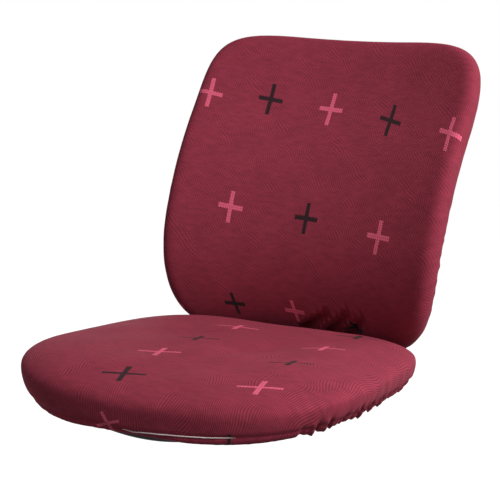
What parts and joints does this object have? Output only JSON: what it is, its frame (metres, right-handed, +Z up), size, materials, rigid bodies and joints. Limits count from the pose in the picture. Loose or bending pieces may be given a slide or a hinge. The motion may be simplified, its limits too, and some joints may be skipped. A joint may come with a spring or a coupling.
{
  "type": "office chair seat and back",
  "caption": "Upholstered task chair seat and reclining, height-adjustable backrest in a stretch slipcover, on a steel tilt mechanism with a column socket.",
  "frame": {"origin": "centre of the mouth of the column socket under the seat", "axes": "+Z up along the column, the sitter faces -Y, +X is the sitter's left"},
  "size_m": [0.4886, 0.6165, 0.5091],
  "materials": {
    "cover_knit": "stretch jacquard knit, burgundy with small crosses",
    "hem_elastic": "woven elastic",
    "foam": "moulded polyurethane foam",
    "plywood": "moulded beech plywood",
    "black_plastic": "fine moulded grain",
    "black_steel": "satin powder coat",
    "zinc_steel": "bright zinc",
    "nylon": "natural nylon"
  },
  "bodies": {
    "seat_unit": {"seat_cover": "cover_knit", "seat_hem_elastic": "hem_elastic", "seat_foam": "foam", "seat_board": "plywood", "seat_tee_nuts": "zinc_steel", "arm_tee_nuts": "zinc_steel", "seat_underpan": "black_plastic", "underpan_screws": "zinc_steel", "seat_tray": "black_steel", "tray_bolts": "zinc_steel", "taper_bush": "zinc_steel", "lever_pin": "zinc_steel", "recline_pin": "zinc_steel", "pin_clips": "zinc_steel", "lock_spacers": "nylon"},
    "height_handle": {"height_lever": "zinc_steel", "height_grip": "black_plastic"},
    "lock_handle": {"lock_lever": "zinc_steel", "lock_grip": "black_plastic", "lock_nut": "zinc_steel"},
    "back_support": {"back_bracket": "black_steel", "pivot_bushes": "nylon", "back_bar": "black_steel", "bar_bolts": "zinc_steel", "bar_sleeve": "black_plastic", "bar_cap": "black_plastic"},
    "backrest": {"back_cover": "cover_knit", "back_hem_elastic": "hem_elastic", "back_foam": "foam", "back_board": "plywood", "back_inserts": "zinc_steel", "back_shell": "black_plastic", "shell_screws": "zinc_steel", "back_carriage": "black_plastic", "carriage_bolts": "zinc_steel"},
    "clamp_slide": {"knob_washer": "nylon"},
    "clamp_knob": {"clamp_stud": "zinc_steel", "height_knob": "black_plastic"}
  },
  "joints": [
    {"name": "back_recline", "type": "hinge", "parent": "seat_unit", "child": "back_support", "pos_m": [0, 0.1, 0.03], "axis": [-1, 0, 0], "range_deg": [-4, 14]},
    {"name": "back_height", "type": "slide", "parent": "back_support", "child": "backrest", "axis": [0, 0.1908, 0.9816], "range_m": [0, 0.04]},
    {"name": "knob_travel", "type": "slide", "parent": "backrest", "child": "clamp_slide", "axis": [0, 0.9816, -0.1908], "range_m": [0, 0.0031]},
    {"name": "knob_turn", "type": "hinge", "parent": "clamp_slide", "child": "clamp_knob", "pos_m": [0, 0.30674, 0.22214], "axis": [0, 0.9816, -0.1908], "range_deg": [0, 720]},
    {"name": "height_lever_lift", "type": "hinge", "parent": "seat_unit", "child": "height_handle", "pos_m": [-0.031, 0, 0.0475], "axis": [0, 1, 0], "range_deg": [0, 5.5], "stiffness_Nm_per_rad": 4, "springref_deg": -2.86},
    {"name": "lock_turn", "type": "hinge", "parent": "seat_unit", "child": "lock_handle", "pos_m": [0, 0.07, 0.03], "axis": [-1, 0, 0], "range_deg": [0, 25]}
  ],
  "couplings": [
    {"joint": "knob_travel", "follows": "knob_turn", "m_per_rad": 0.00023873}
  ]
}
